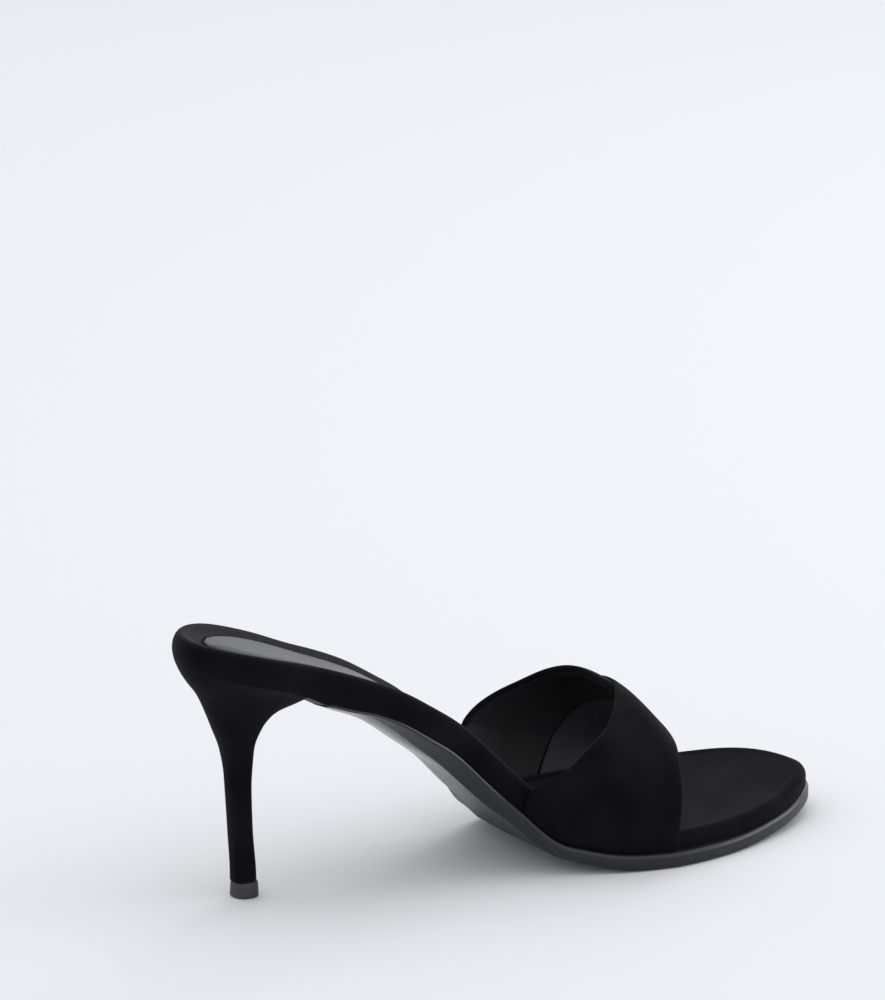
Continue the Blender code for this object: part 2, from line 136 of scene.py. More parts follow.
# Stations along the shoe. Footbed: half widths to the lateral (outer) and medial
# (inner) side, the bed's height, the rim's height, how far the rim tapers in
# below, the dish's depth and the rolled rim's width. Outsole: thickness, height
# of its upright edge, width of its bevel, how far the bottom's middle hangs
# below its sides, and how far it stands out. Medial side: how far the arch
# lifts it, how far the outsole's bottom is cut back, and how far the bed's rim
# stands above its middle.
SOLE_COLUMNS = (
    "x", "lateral", "medial", "bed", "rim", "taper", "dish", "roll",
    "outsole", "edge", "bevel", "belly", "welt", "arch", "undercut", "cant",
)
SOLE = [
    (1.5, 22.5, 22.5, 80.5, 8.7, 0.9, 2.0, 7.4, 2.2, 0.2, 2.5, 0.8, -1.6, 0.0, 0.0, 0.6),
    (12.0, 22.5, 22.5, 79.1, 9.0, 0.9, 2.0, 7.4, 2.2, 0.2, 2.5, 0.8, -1.6, 0.0, 0.0, 1.3),
    (24.0, 22.5, 22.5, 76.3, 8.8, 0.9, 2.0, 7.4, 2.2, 0.2, 2.5, 0.8, -1.6, 0.0, 0.0, 1.6),
    (34.0, 22.4, 22.2, 73.4, 9.5, 0.9, 2.0, 7.4, 2.2, 0.2, 2.5, 0.8, -1.6, 0.0, 0.0, 1.4),
    (45.0, 22.2, 21.4, 69.6, 9.5, 0.8, 2.0, 7.2, 2.9, 0.2, 3.5, 1.5, -1.4, 0.0, 1.0, 0.8),
    (56.0, 21.8, 20.4, 65.2, 8.3, 0.5, 1.9, 7.0, 4.1, 0.3, 5.0, 2.0, -1.3, 1.2, 3.0, 0.2),
    (66.0, 21.4, 19.4, 60.6, 8.2, 0.2, 1.9, 6.8, 5.1, 0.5, 7.0, 1.4, -0.7, 1.9, 4.0, 0.0),
    (76.0, 20.8, 18.8, 54.6, 8.4, 0.0, 1.9, 6.6, 5.8, 0.5, 7.8, 0.9, -0.2, 2.1, 4.5, 0.0),
    (86.0, 20.8, 18.8, 47.9, 8.6, 0.0, 1.8, 6.4, 6.1, 0.5, 7.0, 0.2, 0.4, 2.4, 7.0, 0.0),
    (104.0, 23.6, 21.8, 30.4, 8.0, 0.0, 1.5, 6.1, 4.6, 1.0, 4.8, 0.0, 1.8, 2.4, 8.0, 0.0),
    (120.0, 29.6, 28.2, 15.2, 6.8, 0.0, 1.0, 5.8, 3.9, 2.4, 2.4, 0.0, 2.8, 0.5, 5.0, 0.0),
    (136.0, 35.0, 34.8, 10.5, 5.7, 0.0, 0.8, 5.8, 4.2, 3.2, 1.2, 0.0, 2.9, 0.0, 0.0, 0.0),
    (152.0, 37.2, 38.6, 9.6, 5.3, 0.0, 0.6, 5.8, 4.0, 3.2, 0.8, 0.0, 2.6, 0.0, 0.0, 0.0),
    (170.0, 37.2, 39.0, 9.5, 5.2, 0.0, 0.3, 5.8, 4.0, 3.2, 0.8, 0.0, 2.0, 0.0, 0.0, 0.0),
    (195.0, 37.2, 39.0, 10.8, 5.2, 0.0, 0.3, 5.8, 3.9, 3.1, 0.8, 0.0, 0.7, 0.0, 0.0, 0.0),
    (219.5, 37.2, 39.0, 13.6, 5.2, 0.0, 0.3, 5.8, 3.8, 3.0, 0.8, 0.0, 0.5, 0.0, 0.0, 0.0),
]
SOLE_SOFTENING = 2.0     # the rows are blended into each other over about this
CURVE_POINTS, CURVE_REACH = 1201, 3      # fineness of a curve, reach of the blending
SLOPE_STEP = 1.0         # the bed's slope is taken over this, each way
TINY = 1e-9              # keeps a division by nothing from failing
NARROW = 10.0            # where the sole is narrower than this it grows by less
MERGE, SLIVER = 0.01, 0.004    # points nearer than the first become one
FOOTBED_STATIONS = 170
ARCH_CURVE = 1.5         # how late the medial side begins to rise to its arch
RIM_STRAIGHT = 0.45      # share of the rim's height below its roll
ROLL_CREST = 2.7         # the roll's crest lies this far inside the edge
TAPER_CURVE = 1.6        # how soon the rim's taper ends on the way up
# Where the footbed's lines lie: under it, up the rim, around its roll in
# degrees, down into the dish, and then as shares of the way out to there.
UNDER_SHARE, UNDER_INSETS = 0.6, (0.5, 0.16)
RIM_LEVELS = (0.012, 0.045, 0.1, 0.16, 0.22, 0.28, 0.34, 0.40)
ROLL_TURNS = (0, 12, 24, 36, 48, 60, 72, 82, 90)
FALL_SHARES = (0.12, 0.25, 0.4, 0.55, 0.7, 0.85, 1.0)
BED_SHARES = (0.9, 0.78, 0.64, 0.5, 0.36, 0.22, 0.1, 0.0)
HIGHLIGHT_FROM, HIGHLIGHT_TO = 0.8, 4.0      # painted highlight, where light falls on the roll, between these insets,
HIGHLIGHT_FADE = (96.0, 122.0)           # as far forward as the sock reaches


def eased(share):
    """A share from 0 to 1, made to start and to end gently."""
    return share * share * (3 - 2 * share)


def ramp(x, start, end):
    """How far x has come from start to end, kept from 0 to 1."""
    return np.clip((x - start) / (end - start), 0, 1)


def curve(table, columns, name, soften):
    """One column of a table as a smooth function, softened over some of its own units."""
    spots = np.array([row[0] for row in table])
    values = np.array([row[columns.index(name)] for row in table])
    steps = np.diff(values) / np.diff(spots)
    slopes = np.zeros(len(spots))
    product = steps[:-1] * steps[1:]
    total = np.where(np.abs(steps[:-1] + steps[1:]) > TINY, steps[:-1] + steps[1:], 1.0)
    slopes[1:-1] = np.where(product > 0, 2 * product / total, 0.0)
    fine = np.linspace(spots[0], spots[-1], CURVE_POINTS)
    k = np.clip(np.searchsorted(spots, fine, side="right") - 1, 0, len(spots) - 2)
    h = spots[k + 1] - spots[k]
    t = (fine - spots[k]) / h
    a, b, rise = slopes[k] * h, slopes[k + 1] * h, values[k + 1] - values[k]
    line = values[k] + a * t + (3 * rise - 2 * a - b) * t**2 + (a + b - 2 * rise) * t**3
    width = max(1, int(round(soften / (fine[1] - fine[0]))))
    ends = CURVE_REACH * width
    kernel = np.exp(-0.5 * (np.arange(-ends, ends + 1) / width) ** 2)
    before = 2 * line[0] - line[1:ends + 1][::-1]
    after = 2 * line[-1] - line[-ends - 1:-1][::-1]
    line = np.convolve(np.concatenate([before, line, after]), kernel / kernel.sum(), "valid")
    return lambda x: np.interp(x, fine, line)


sole = {name: curve(SOLE, SOLE_COLUMNS, name, SOLE_SOFTENING) for name in SOLE_COLUMNS[1:]}


def half_width(side, x):
    """Half width of the footbed: from the table, then the toe's curve."""
    near, round_off = TOE_CURVE[side]
    share = ramp(x, BALL[side], TOE_TIP)
    return sole[side](np.minimum(x, BALL[side])) * (1 - share**near) ** (1 / round_off)


def feather(x):
    """Height of the line where footbed and outsole meet."""
    slope = (sole["bed"](x + SLOPE_STEP) - sole["bed"](x - SLOPE_STEP)) / (2 * SLOPE_STEP)
    return sole["bed"](x) - sole["rim"](x) * np.sqrt(1 + slope**2)


def medial_share(flat):
    """How far out on the medial side points in plan lie: 0 in the middle, 1 at the edge."""
    return np.clip(flat[:, 1] / np.maximum(half_width("medial", flat[:, 0]), 1.0), 0, 1)


def arch(flat):
    """How far the medial side of the waist is raised at points in plan."""
    return sole["arch"](flat[:, 0]) * medial_share(flat)**ARCH_CURVE


def bed_top(flat):
    """Height of the footbed's rim at points in plan."""
    return sole["bed"](flat[:, 0]) + sole["cant"](flat[:, 0]) * medial_share(flat)


def outline(start, start_cap, end, end_cap, stations, grow=0.0):
    """The sole's plan as a closed line, and for each of its points one on the middle line.

    The caps are how far its rounded ends reach; grow widens each side, by a
    distance or by a function of x and the side.
    """
    first, final = start + start_cap, end - end_cap
    x = start + (end - start) * (1 - np.cos(np.pi * np.arange(stations + 1) / stations)) / 2
    middle_x = np.clip(x, first, final - (0 if end_cap else SEAT_RADIUS))
    middle_y = (half_width("medial", middle_x) - half_width("lateral", middle_x)) / 2
    closing = np.sqrt(np.clip(1 - (np.clip(first - x, 0, None) / start_cap) ** 2, 0, 1))
    if end_cap:
        closing *= np.sqrt(np.clip(1 - (np.clip(x - final, 0, None) / end_cap) ** 2, 0, 1))
    sides = []
    for side, sign in (("lateral", -1), ("medial", 1)):
        reach = half_width(side, np.clip(x, first, final))
        growth = grow(x, side) if callable(grow) else grow
        reach = reach + growth * np.minimum(1, reach / NARROW)
        y = middle_y + (sign * reach - middle_y) * closing
        sides.append(np.stack([x, y], axis=1))
    ring = np.concatenate([sides[0], sides[1][::-1][1:-1]])
    spine = np.stack([middle_x, middle_y], axis=1)
    return ring, np.concatenate([spine, spine[::-1][1:-1]])


def inwards(ring, move):
    """A closed line moved inwards, square to itself."""
    along = np.roll(ring, -1, axis=0) - np.roll(ring, 1, axis=0)
    along /= np.maximum(np.linalg.norm(along, axis=1, keepdims=True), TINY)
    side = np.stack([-along[:, 1], along[:, 0]], axis=1)
    return ring + side * (move if np.isscalar(move) else move[:, None])


def towards(ring, spine, move):
    """A closed line drawn towards its middle line by a distance."""
    out = ring - spine
    length = np.maximum(np.linalg.norm(out, axis=1), TINY)
    return spine + out * (np.clip(length - move, 0, None) / length)[:, None]


def lift_ring(flat, height):
    """A plan line raised to its heights, given or as a function of x, and to the arch."""
    level = height(flat[:, 0]) if callable(height) else height
    return np.column_stack([flat, level + arch(flat)])


def sweep(name, rings, close_ends=False, marks=None):
    """A mesh from a row of closed lines of points in the shoe's millimetres.

    Marks, one for each point, are kept as a point attribute, which dress reads by
    name: they say where light or shade is painted into the colour.
    """
    rings = np.array(rings, float)
    rows, count = rings.shape[:2]
    points = rings.reshape(-1, 3) * MM + np.array(ZERO)
    mesh = bpy.data.meshes.new(name)
    faces = []
    for r in range(rows - 1):
        for i in range(count):
            j = (i + 1) % count
            faces.append((r * count + i, r * count + j, (r + 1) * count + j, (r + 1) * count + i))
    if close_ends:
        faces += [tuple(range(count))[::-1], tuple((rows - 1) * count + i for i in range(count))]
    mesh.from_pydata(points.tolist(), [], faces)
    if marks is not None:
        mesh.attributes.new("painted_light", "FLOAT", "POINT").data.foreach_set("value", np.ravel(marks))
    shape = bmesh.new()
    shape.from_mesh(mesh)
    bmesh.ops.remove_doubles(shape, verts=shape.verts, dist=MERGE * MM)
    bmesh.ops.dissolve_degenerate(shape, dist=SLIVER * MM, edges=shape.edges)
    bmesh.ops.recalc_face_normals(shape, faces=shape.faces)
    shape.to_mesh(mesh)
    shape.free()
    mesh.shade_smooth()
    piece = bpy.data.objects.new(name, mesh)
    bpy.context.scene.collection.objects.link(piece)
    return piece


PATCH_DETAIL, PATCH_RANGE, SPECK_RANGE = 3.0, (0.3, 0.7), (0.42, 0.58)
SURFACE_INPUTS = (
    ("Patch Scale", 50.0), ("Fold Scale", 100.0), ("Fold Strength", 0.0), ("Fold Depth", 0.0008),
    ("Grain Scale", 1500.0), ("Grain Cells", 0.0), ("Grain Strength", 0.1), ("Grain Depth", 0.0002),
)


def nap_and_grain():
    """The shared surface: soft patches of tone, specks, and relief of broad folds and grain."""
    group = bpy.data.node_groups.new("nap_and_grain", "ShaderNodeTree")
    for name, value in SURFACE_INPUTS:
        socket = group.interface.new_socket(name, in_out="INPUT", socket_type="NodeSocketFloat")
        socket.default_value = value
    for name in ("Patches", "Specks"):
        group.interface.new_socket(name, in_out="OUTPUT", socket_type="NodeSocketFloat")
    group.interface.new_socket("Normal", in_out="OUTPUT", socket_type="NodeSocketVector")
    given, result = group.nodes.new("NodeGroupInput"), group.nodes.new("NodeGroupOutput")
    place = group.nodes.new("ShaderNodeTexCoord")

    def pattern(kind, scale):
        node = group.nodes.new(kind)
        group.links.new(place.outputs["Object"], node.inputs["Vector"])
        group.links.new(given.outputs[scale], node.inputs["Scale"])
        return node

    def relief(height, size, below=None):
        node = group.nodes.new("ShaderNodeBump")
        group.links.new(height, node.inputs["Height"])
        group.links.new(given.outputs[size + " Strength"], node.inputs["Strength"])
        group.links.new(given.outputs[size + " Depth"], node.inputs["Distance"])
        if below:
            group.links.new(below.outputs["Normal"], node.inputs["Normal"])
        return node

    patches = pattern("ShaderNodeTexNoise", "Patch Scale")
    patches.inputs["Detail"].default_value = PATCH_DETAIL
    folds = pattern("ShaderNodeTexNoise", "Fold Scale")
    fibres = pattern("ShaderNodeTexNoise", "Grain Scale")
    cells = pattern("ShaderNodeTexVoronoi", "Grain Scale")
    grain = group.nodes.new("ShaderNodeMix")
    group.links.new(given.outputs["Grain Cells"], grain.inputs["Factor"])
    group.links.new(fibres.outputs["Fac"], grain.inputs["A"])
    group.links.new(cells.outputs["Distance"], grain.inputs["B"])
    folded = relief(folds.outputs["Fac"], "Fold")
    grained = relief(grain.outputs["Result"], "Grain", folded)
    specks = group.nodes.new("ShaderNodeMapRange")
    specks.inputs["From Min"].default_value = SPECK_RANGE[0]
    specks.inputs["From Max"].default_value = SPECK_RANGE[1]
    group.links.new(fibres.outputs["Fac"], specks.inputs["Value"])
    group.links.new(patches.outputs["Fac"], result.inputs["Patches"])
    group.links.new(specks.outputs["Result"], result.inputs["Specks"])
    group.links.new(grained.outputs["Normal"], result.inputs["Normal"])
    return group


nap_group = nap_and_grain()


def dress(name, dark, light, matt, gloss, painted_light=None, painted_light_rough=None, specks=0.0, **relief):
    """A material with the shared surface: colours and roughness from its patches.

    Where the piece is marked, it takes the marked colour, which is painted light or
    shade, and the marked roughness, evenly or, as lit pile tips do, in specks.
    """
    material = bpy.data.materials.new(name)
    material.use_nodes = True
    tree = material.node_tree
    surface = tree.nodes["Principled BSDF"]
    shared = tree.nodes.new("ShaderNodeGroup")
    shared.node_tree = nap_group
    for key, value in relief.items():
        shared.inputs[key.replace("_", " ").title()].default_value = value
    tree.links.new(shared.outputs["Normal"], surface.inputs["Normal"])
    for low, high, marked, socket in (
        (dark, light, painted_light, "Base Color"),
        ((matt,) * 3, (gloss,) * 3, (painted_light_rough or gloss,) * 3, "Roughness"),
    ):
        shade = tree.nodes.new("ShaderNodeValToRGB")
        for stop, position, tone in zip(shade.color_ramp.elements, PATCH_RANGE, (low, high)):
            stop.position, stop.color = position, (*tone, 1.0)
        tree.links.new(shared.outputs["Patches"], shade.inputs["Fac"])
        colour = shade.outputs["Color"]
        if painted_light:
            mark = tree.nodes.new("ShaderNodeAttribute")
            mark.attribute_name = "painted_light"
            spotty = tree.nodes.new("ShaderNodeMapRange")
            spotty.inputs["To Min"].default_value = 1.0 - specks
            share = tree.nodes.new("ShaderNodeMath")
            share.operation = "MULTIPLY"
            blend = tree.nodes.new("ShaderNodeMix")
            blend.data_type = "RGBA"
            tree.links.new(shared.outputs["Specks"], spotty.inputs["Value"])
            tree.links.new(mark.outputs["Fac"], share.inputs[0])
            tree.links.new(spotty.outputs["Result"], share.inputs[1])
            tree.links.new(share.outputs["Value"], blend.inputs["Factor"])
            tree.links.new(colour, blend.inputs["A"])
            blend.inputs["B"].default_value = (*marked, 1.0)
            colour = blend.outputs["Result"]
        tree.links.new(colour, surface.inputs[socket])
    return material, surface


# The marked colour is a painted highlight: a lit band on the footbed's roll beside the sock, in
# specks, and light lines along the bands' turned edges.
velvet, surface = dress(
    "black_velvet", dark=(0.0034, 0.0031, 0.0042), light=(0.0078, 0.0071, 0.0095),
    matt=0.95, gloss=0.8, painted_light=(0.038, 0.036, 0.040), painted_light_rough=0.7, specks=0.5,
    patch_scale=55.0, fold_scale=90.0, fold_strength=0.2, fold_depth=0.0008,
    grain_scale=2200.0, grain_strength=0.4, grain_depth=0.00015,
)
surface.inputs["Sheen Weight"].default_value = 0.055
surface.inputs["Sheen Roughness"].default_value = 0.45
surface.inputs["Sheen Tint"].default_value = (0.94, 0.88, 1.0, 1.0)
surface.inputs["Specular IOR Level"].default_value = 0.02

bed_ring, bed_spine = outline(SEAT_BACK, SEAT_RADIUS, TOE_TIP, 0, FOOTBED_STATIONS)


def rim_ring(inset, taper_share, rim_share, drop_share=0.0):
    """One line of the rim: its step inside the edge and its share of the rim's height."""
    line = towards(bed_ring, bed_spine, inset + taper_share * sole["taper"](bed_ring[:, 0]))
    low, high = feather(line[:, 0]), bed_top(line)
    drop = drop_share * sole["dish"](line[:, 0])
    return lift_ring(line, low + (high - low) * rim_share - drop)


def painted_highlight_at(ring, inset):
    """How strong the painted highlight on the roll is at an inset: along the sock, not at the toe.
    """
    return eased(ramp(inset, HIGHLIGHT_FROM, HIGHLIGHT_TO)) * ramp(ring[:, 0], *HIGHLIGHT_FADE[::-1])


footbed_rings = [lift_ring(bed_spine, feather)]
footbed_rings.append(lift_ring(bed_spine + (bed_ring - bed_spine) * UNDER_SHARE, feather))
footbed_rings += [rim_ring(inset, 1.0, 0.0) for inset in UNDER_INSETS]
for level in RIM_LEVELS:
    footbed_rings.append(rim_ring(0.0, (1 - level / RIM_STRAIGHT) ** TAPER_CURVE, level))
painted_light = [np.zeros(len(bed_ring))] * len(footbed_rings)
for degrees in ROLL_TURNS:
    angle = math.radians(degrees)
    rise = RIM_STRAIGHT + (1 - RIM_STRAIGHT) * math.sin(angle)
    inset = ROLL_CREST * (1 - math.cos(angle))
    footbed_rings.append(rim_ring(inset, 0.0, rise))
    painted_light.append(painted_highlight_at(bed_ring, inset))
for share in FALL_SHARES:
    inset = ROLL_CREST + (sole["roll"](bed_ring[:, 0]) - ROLL_CREST) * share
    footbed_rings.append(rim_ring(inset, 0.0, 1.0, eased(share)))
    painted_light.append(painted_highlight_at(bed_ring, inset))
inner_line = towards(bed_ring, bed_spine, sole["roll"](bed_ring[:, 0]))
for share in BED_SHARES:
    line = bed_spine + (inner_line - bed_spine) * share
    sunk = sole["dish"](line[:, 0]) + CROWN * (1 - share**2)
    footbed_rings.append(lift_ring(line, bed_top(line) - sunk))
    painted_light.append(painted_light[-1])
footbed = sweep("footbed_velvet", footbed_rings, marks=painted_light)
footbed.data.materials.append(velvet)
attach(footbed, "root")
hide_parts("footbed")

# ---------------------------------------------------------------------------
# Sock: a thin piece of smooth black leather laid on the seat and the waist,
# with a softly cut edge.
SOCK_START, SOCK_END, SOCK_INSET = 10.0, 112.0, 8.0
SOCK_CAP, SOCK_FRONT, SOCK_STATIONS = 21.0, 6.0, 90
SOCK_SINK = 0.05         # it is pressed this far into the velvet
SOCK_UNDER, SOCK_FACE = -0.25, 0.8
SOCK_SECTION = (         # around its cut edge: an inset and a height
    (0.6, -0.25), (0.0, 0.0), (0.0, 0.35), (0.12, 0.52), (0.4, 0.64), (1.0, 0.74),
    (1.8, 0.8), (2.6, 0.82),
)
FACE_SHARES = (0.85, 0.7, 0.55, 0.4, 0.25, 0.1, 0.0)
# The leather is painted darker and made rougher along its edge, painted shade
# where its reflection fades: this wide, more on the outer side, and there most
# of all at the back, falling off as far as the last of these.
SHADE_WIDTH, SHADE_OUTER, SHADE_BACK, SHADE_TO = 1.2, 3.0, 9.0, 60.0

# Its marked colour is painted shade along the edge, and its roughness there is higher.
leather, _ = dress(
    "sock_leather", dark=(0.020, 0.020, 0.021), light=(0.030, 0.030, 0.031),
    matt=0.42, gloss=0.34, painted_light=(0.012, 0.012, 0.013), painted_light_rough=0.62, patch_scale=40.0,
    grain_scale=1400.0, grain_cells=1.0, grain_strength=0.12, grain_depth=0.0002,
)

sock_ring, sock_spine = outline(
    SOCK_START, SOCK_CAP, SOCK_END, SOCK_FRONT, SOCK_STATIONS, -SOCK_INSET
)


def laid(flat, lift):
    """A line of the sock laid on the footbed's dish."""
    return lift_ring(flat, bed_top(flat) - sole["dish"](flat[:, 0]) - SOCK_SINK + lift)


def painted_shade_width(ring):
    """How wide the sock's darker, rougher edge of painted shade is: broadest on the outer side of
    the seat.
    """
    back = ramp(ring[:, 0], SHADE_TO, 0.0)
    return SHADE_WIDTH + (SHADE_OUTER + SHADE_BACK * back) * (ring[:, 1] < 0)


sock_rings, painted_light = [laid(sock_spine, SOCK_UNDER)], [np.ones(len(sock_ring))]
for inset, lift in SOCK_SECTION:
    sock_rings.append(laid(inwards(sock_ring, inset), lift))
    painted_light.append(np.clip(1 - inset / painted_shade_width(sock_rings[-1]), 0, 1))
sock_inner = inwards(sock_ring, SOCK_SECTION[-1][0])
for share in FACE_SHARES:
    sock_rings.append(laid(sock_spine + (sock_inner - sock_spine) * share, SOCK_FACE))
    depth = np.linalg.norm(sock_rings[-1][:, :2] - sock_ring, axis=1)
    painted_light.append(np.clip(1 - depth / painted_shade_width(sock_rings[-1]), 0, 1))
sock = sweep("sock_leather", sock_rings, marks=painted_light)
sock.data.materials.append(leather)
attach(sock, "root")
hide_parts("sock")

# ---------------------------------------------------------------------------
# Pile edge: the velvet's pile where it stands up along the sock's cut edge, in
# short tufts that lean over the leather.
TUFTS, TUFT_LENGTH, TUFT_RADIUS, TUFT_LEAN, TUFT_SEED = 2600, 0.6, 0.07, 0.9, 7
TUFT_SPREAD = 0.35       # how far a tuft may stand from the edge
TUFT_SIDES = 4
# Between what a tuft's scale lies, and its shift and turn, in spreads and leans.
TUFT_SCALES = (0.6, 0.6, 0.5), (1.2, 1.2, 1.3)
TUFT_SHIFTS, TUFT_TURNS = ((-1, -1, -0.3), (1, 1, 0)), ((-1, -1, 0), (1, 1, 3))
PILE_INSET, PILE_HEIGHT = 0.1, 0.45      # where it stands on the sock's edge
PILE_INPUTS = (
    ("Tufts", "NodeSocketInt", TUFTS), ("Length", "NodeSocketFloat", TUFT_LENGTH * MM),
    ("Radius", "NodeSocketFloat", TUFT_RADIUS * MM), ("Lean", "NodeSocketFloat", TUFT_LEAN),
    ("Spread", "NodeSocketFloat", TUFT_SPREAD * MM), ("Seed", "NodeSocketInt", TUFT_SEED),
    ("Material", "NodeSocketMaterial", velvet),
)


def pile_tree():
    """Geometry nodes that set leaning tufts along a closed line."""
    tree = bpy.data.node_groups.new("pile_edge", "GeometryNodeTree")
    tree.interface.new_socket("Line", in_out="INPUT", socket_type="NodeSocketGeometry")
    for name, kind, _ in PILE_INPUTS:
        tree.interface.new_socket(name, in_out="INPUT", socket_type=kind)
    tree.interface.new_socket("Pile", in_out="OUTPUT", socket_type="NodeSocketGeometry")
    add, join = tree.nodes.new, tree.links.new
    given, result = add("NodeGroupInput"), add("NodeGroupOutput")
    path, spots = add("GeometryNodeMeshToCurve"), add("GeometryNodeResampleCurve")
    place = add("GeometryNodeSetPosition")
    tuft, standing = add("GeometryNodeMeshCone"), add("GeometryNodeInstanceOnPoints")
    real, dressed = add("GeometryNodeRealizeInstances"), add("GeometryNodeSetMaterial")
    spots.mode = "COUNT"
    tuft.inputs["Vertices"].default_value = TUFT_SIDES
    tuft.inputs["Radius Top"].default_value = 0.0

    def random(low, high, offset):
        """A random vector for each tuft, between two vectors or two sockets."""
        value, seed = add("FunctionNodeRandomValue"), add("ShaderNodeMath")
        value.data_type = "FLOAT_VECTOR"
        seed.inputs[1].default_value = offset
        join(given.outputs["Seed"], seed.inputs[0])
        join(seed.outputs[0], value.inputs["Seed"])
        for source, socket in ((low, "Min"), (high, "Max")):
            if isinstance(source, tuple):
                value.inputs[socket].default_value = source
            else:
                join(source, value.inputs[socket])
        return value.outputs["Value"]

    def scaled(name, vector):
        """A vector times one of the tree's inputs."""
        node = add("ShaderNodeVectorMath")
        node.operation = "SCALE"
        node.inputs[0].default_value = vector
        join(given.outputs[name], node.inputs["Scale"])
        return node.outputs["Vector"]

    shift = random(*(scaled("Spread", vector) for vector in TUFT_SHIFTS), 0)
    turn = random(*(scaled("Lean", vector) for vector in TUFT_TURNS), 1)
    size = random(*TUFT_SCALES, 2)
    for source, target in (
        (given.outputs["Line"], path.inputs["Mesh"]),
        (path.outputs["Curve"], spots.inputs["Curve"]),
        (given.outputs["Tufts"], spots.inputs["Count"]),
        (spots.outputs["Curve"], place.inputs["Geometry"]),
        (shift, place.inputs["Offset"]),
        (given.outputs["Radius"], tuft.inputs["Radius Bottom"]),
        (given.outputs["Length"], tuft.inputs["Depth"]),
        (place.outputs["Geometry"], standing.inputs["Points"]),
        (tuft.outputs["Mesh"], standing.inputs["Instance"]),
        (turn, standing.inputs["Rotation"]),
        (size, standing.inputs["Scale"]),
        (standing.outputs["Instances"], real.inputs["Geometry"]),
        (real.outputs["Geometry"], dressed.inputs["Geometry"]),
        (given.outputs["Material"], dressed.inputs["Material"]),
        (dressed.outputs["Geometry"], result.inputs["Pile"]),
    ):
        join(source, target)
    return tree


cut_edge = laid(inwards(sock_ring, PILE_INSET), PILE_HEIGHT) * MM + np.array(ZERO)
line_mesh = bpy.data.meshes.new("pile_line")
ends = [(i, (i + 1) % len(cut_edge)) for i in range(len(cut_edge))]
line_mesh.from_pydata(cut_edge.tolist(), ends, [])
line = bpy.data.objects.new("pile_line", line_mesh)
bpy.context.scene.collection.objects.link(line)
tufting = line.modifiers.new("pile", "NODES")
tufting.node_group = pile_tree()
sockets = {item.name: item.identifier for item in tufting.node_group.interface.items_tree}
for name, _, value in PILE_INPUTS:
    tufting[sockets[name]] = value
ready = line.evaluated_get(bpy.context.evaluated_depsgraph_get())
pile_mesh = bpy.data.meshes.new_from_object(ready)
bpy.data.objects.remove(line)
pile_mesh.name = "sock_pile_edge"
pile = bpy.data.objects.new("sock_pile_edge", pile_mesh)
bpy.context.scene.collection.objects.link(pile)
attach(pile, "root")

# ---------------------------------------------------------------------------
# Outsole: polished black leather, cut flush under the ball with a bright
# chamfer along its top, bevelled through the waist and flat on the floor.
OUTSOLE_START, OUTSOLE_CAP, OUTSOLE_STATIONS = 37.6, 3.0, 150
OUTSOLE_PROUD = 0.6      # its edge stands out this far
FLAT_FROM, FLAT_TO, FLAT_EASE = 138.0, 170.0, 30.0   # it lies flat on the floor between these
JOINT = -0.15            # the footbed is cemented on, with no visible gap
TOP_FALL, EDGE_LEAST = 0.9, 0.5      # the edge's foot: under the top, over the bottom
# The chamfer's lines: a step inwards from the plan, less than 0 outwards, and a
# fall from the top. The edge then goes down to a rounded arris over the bevel.
CHAMFER = ((0.8, 0.0), (0.1, 0.0), (-0.1, 0.1), (-0.5, 0.7), (-0.58, 0.85))
CHAMFER_FALL = 1.0
ARRIS_START = 0.15       # the arris begins this far over the edge's foot
ARRIS = ((-0.5, 0.0), (-0.3, 0.12))      # its lines: a step and a fall, as above
BEVEL_TOP, BEVEL_SHARES = 0.2, (0.25, 0.5, 0.75, 0.93, 1.0)
BOTTOM_SHARES, BELLY_CURVE = (0.95, 0.8, 0.5, 0.25, 0.0), 1.5
DULL, SHINE = 0.75, 0.25     # how far the leather is made darker and rougher: much on the bevel, little on the chamfer
EDGE_SHADE_FROM, EDGE_SHADE_TO = (96.0, 130.0), (160.0, 205.0)     # painted shade: the edge is darker and matt between these, not at the toe tip, which the light catches
BOTTOM_SHADOW = (84.0, 112.0)      # painted shadow: forward of these the bottom is darker and rougher, under the forefoot
CREASE = math.radians(55)


def underside(x):
    """Height of the outsole's bottom: flat on the floor under the forefoot."""
    height = feather(x) - GAP - sole["outsole"](x)
    near = np.where(x < FLAT_FROM, FLAT_FROM, FLAT_TO)
    lift = feather(near) - GAP - sole["outsole"](near)
    raised = np.maximum(0, height - lift * np.clip(1 - np.abs(x - near) / FLAT_EASE, 0, None))
    return np.where((x >= FLAT_FROM) & (x <= FLAT_TO), 0.0, raised)


# Its marked colour and roughness make the leather darker and rougher: painted shade on the edge and
# under the forefoot, and more on the bevel than on the chamfer.
polish, surface = dress(
    "outsole_leather", dark=(0.018, 0.018, 0.019), light=(0.026, 0.026, 0.027),
    matt=0.26, gloss=0.17, painted_light=(0.007, 0.007, 0.0075), painted_light_rough=0.55, patch_scale=30.0,
    grain_scale=900.0, grain_strength=0.06, grain_depth=0.0002,
)
surface.inputs["Specular IOR Level"].default_value = 0.45


def welt(x, side):
    """How far the outsole stands out beyond the footbed."""
    return sole["welt"](x)


def undercut(x, side):
    """The same for its bottom, which is cut back on the medial side."""
    return sole["welt"](x) - (sole["undercut"](x) if side == "medial" else 0.0)


